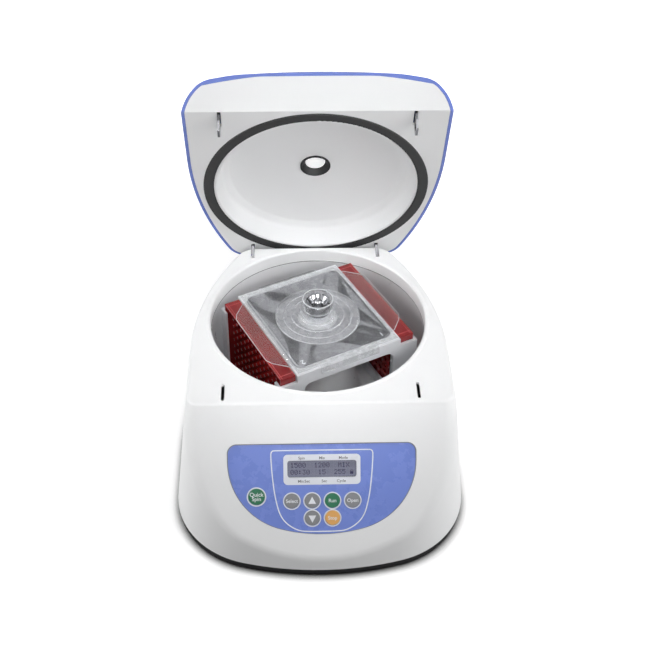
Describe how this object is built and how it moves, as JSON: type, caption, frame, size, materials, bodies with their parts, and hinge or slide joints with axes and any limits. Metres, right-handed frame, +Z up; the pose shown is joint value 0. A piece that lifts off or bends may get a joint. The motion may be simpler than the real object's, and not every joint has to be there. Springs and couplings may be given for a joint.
{
  "type": "bench centrifuge and vortex mixer for well plates",
  "caption": "Bench centrifuge and vortex mixer with a swing-up lid, a drum chamber and a rotor that holds well plates on edge, run from a sloping control panel.",
  "frame": {"origin": "on the bench, under the middle of the instrument with its lid open", "axes": "+Z up, +Y towards the lid hinge, -Y towards the control panel, +X to the user's right"},
  "size_m": [0.285, 0.3686, 0.3841],
  "materials": {
    "housing_white": "satin off-white moulding",
    "lid_blue": "gloss blue moulding",
    "base_black": "fine texture black",
    "bowl_grey": "satin dark grey",
    "black_rubber": "matt black",
    "black_plastic": "matt black",
    "clear_plastic": "clear moulded sheet",
    "plate_red": "dark red translucent moulding",
    "rotor_grey": "satin light grey coat",
    "label_grey": "printed grey film",
    "chrome_steel": "polished",
    "steel": "brushed",
    "zinc_steel": "zinc plated",
    "aluminium": "turned",
    "bronze": "plain",
    "copper_winding": "lacquered windings",
    "magnet_black": "coated magnet",
    "board_green": "solder resist",
    "panel_blue": "gloss printed panel",
    "bezel_white": "satin white frame",
    "screen": "clear screen",
    "screen_module": "grey-green display",
    "key_grey": "satin grey",
    "key_green": "satin green",
    "key_amber": "satin amber"
  },
  "bodies": {
    "housing": {"base_pan": "base_black", "rubber_feet": "black_rubber", "upper_housing": "housing_white", "chamber_bowl": "bowl_grey", "shaft_seal": "black_rubber", "motor_plate": "steel", "vibration_mounts": "black_rubber", "motor_can": "steel", "motor_stator": "copper_winding", "motor_bearings": "steel", "control_board": "board_green", "board_spacers": "aluminium", "display_module": "screen_module", "display_window": "screen", "display_bezel": "bezel_white", "control_panel": "panel_blue", "keypad_board": "board_green", "key_switches": "black_plastic", "latch_guides": "black_plastic", "latch_actuator": "black_plastic", "hinge_brackets": "zinc_steel", "hinge_pins": "steel", "friction_washers": "bronze", "power_inlet": "black_plastic", "switch_frame": "black_plastic", "rear_plate": "base_black", "base_screws": "zinc_steel", "motor_screws": "zinc_steel", "bracket_screws": "zinc_steel"},
    "lid": {"lid_outer_shell": "lid_blue", "lid_inner_shell": "housing_white", "lid_gasket": "black_rubber", "window_ring": "black_plastic", "window_lens": "screen", "lid_strikers": "steel", "hinge_arms": "steel", "lid_screws": "zinc_steel"},
    "rotor": {"motor_shaft": "steel", "motor_magnet": "magnet_black", "rotor_hub": "aluminium", "rotor_frame": "rotor_grey", "rotor_label_plate": "label_grey", "rotor_cover": "clear_plastic", "hub_collet": "chrome_steel", "well_plate_left": "plate_red", "well_plate_right": "plate_red"},
    "release_pin": {"release_pin": "chrome_steel"},
    "cover_flap_left": {"cover_flap_left": "clear_plastic"},
    "cover_flap_right": {"cover_flap_right": "clear_plastic"},
    "latch_bar": {"latch_bar": "zinc_steel", "latch_plunger": "steel"},
    "power_rocker": {"power_rocker": "base_black"},
    "key_quick_spin": {"key_quick_spin": "key_green"},
    "key_select": {"key_select": "key_grey"},
    "key_up": {"key_up": "key_grey"},
    "key_run": {"key_run": "key_green"},
    "key_open": {"key_open": "key_grey"},
    "key_down": {"key_down": "key_grey"},
    "key_stop": {"key_stop": "key_amber"}
  },
  "joints": [
    {"name": "lid_hinge", "type": "hinge", "parent": "housing", "child": "lid", "pos_m": [0, 0.13718, 0.1285], "axis": [-1, 0, 0], "range_deg": [-71.9, 0]},
    {"name": "rotor_spin", "type": "hinge", "parent": "housing", "child": "rotor", "pos_m": [0, 0.0297, 0.083], "axis": [0, 0, 1], "continuous": true},
    {"name": "release_pin_press", "type": "slide", "parent": "rotor", "child": "release_pin", "axis": [0, 0, -1], "range_m": [0, 0.003], "stiffness_N_per_m": 800},
    {"name": "flap_left_fold", "type": "hinge", "parent": "rotor", "child": "cover_flap_left", "pos_m": [-0.05047, 0.00453, 0.1419], "axis": [-0.4462, 0.8949, 0], "range_deg": [0, 100]},
    {"name": "flap_right_fold", "type": "hinge", "parent": "rotor", "child": "cover_flap_right", "pos_m": [0.05047, 0.05487, 0.1419], "axis": [0.4462, -0.8949, 0], "range_deg": [0, 100]},
    {"name": "latch_slide", "type": "slide", "parent": "housing", "child": "latch_bar", "axis": [1, 0, 0], "range_m": [0, 0.006]},
    {"name": "power_rocker_tilt", "type": "hinge", "parent": "housing", "child": "power_rocker", "pos_m": [0.02, 0.15459, 0.03948], "axis": [-1, 0, 0], "range_deg": [0, 16]},
    {"name": "key_quick_spin_press", "type": "slide", "parent": "housing", "child": "key_quick_spin", "axis": [0, 0.8007, -0.599], "range_m": [0, 0.0008], "stiffness_N_per_m": 600},
    {"name": "key_select_press", "type": "slide", "parent": "housing", "child": "key_select", "axis": [0, 0.8007, -0.599], "range_m": [0, 0.0008], "stiffness_N_per_m": 600},
    {"name": "key_up_press", "type": "slide", "parent": "housing", "child": "key_up", "axis": [0, 0.8007, -0.599], "range_m": [0, 0.0008], "stiffness_N_per_m": 600},
    {"name": "key_run_press", "type": "slide", "parent": "housing", "child": "key_run", "axis": [0, 0.8007, -0.599], "range_m": [0, 0.0008], "stiffness_N_per_m": 600},
    {"name": "key_open_press", "type": "slide", "parent": "housing", "child": "key_open", "axis": [0, 0.8007, -0.599], "range_m": [0, 0.0008], "stiffness_N_per_m": 600},
    {"name": "key_down_press", "type": "slide", "parent": "housing", "child": "key_down", "axis": [0, 0.8007, -0.599], "range_m": [0, 0.0008], "stiffness_N_per_m": 600},
    {"name": "key_stop_press", "type": "slide", "parent": "housing", "child": "key_stop", "axis": [0, 0.8007, -0.599], "range_m": [0, 0.0008], "stiffness_N_per_m": 600}
  ]
}
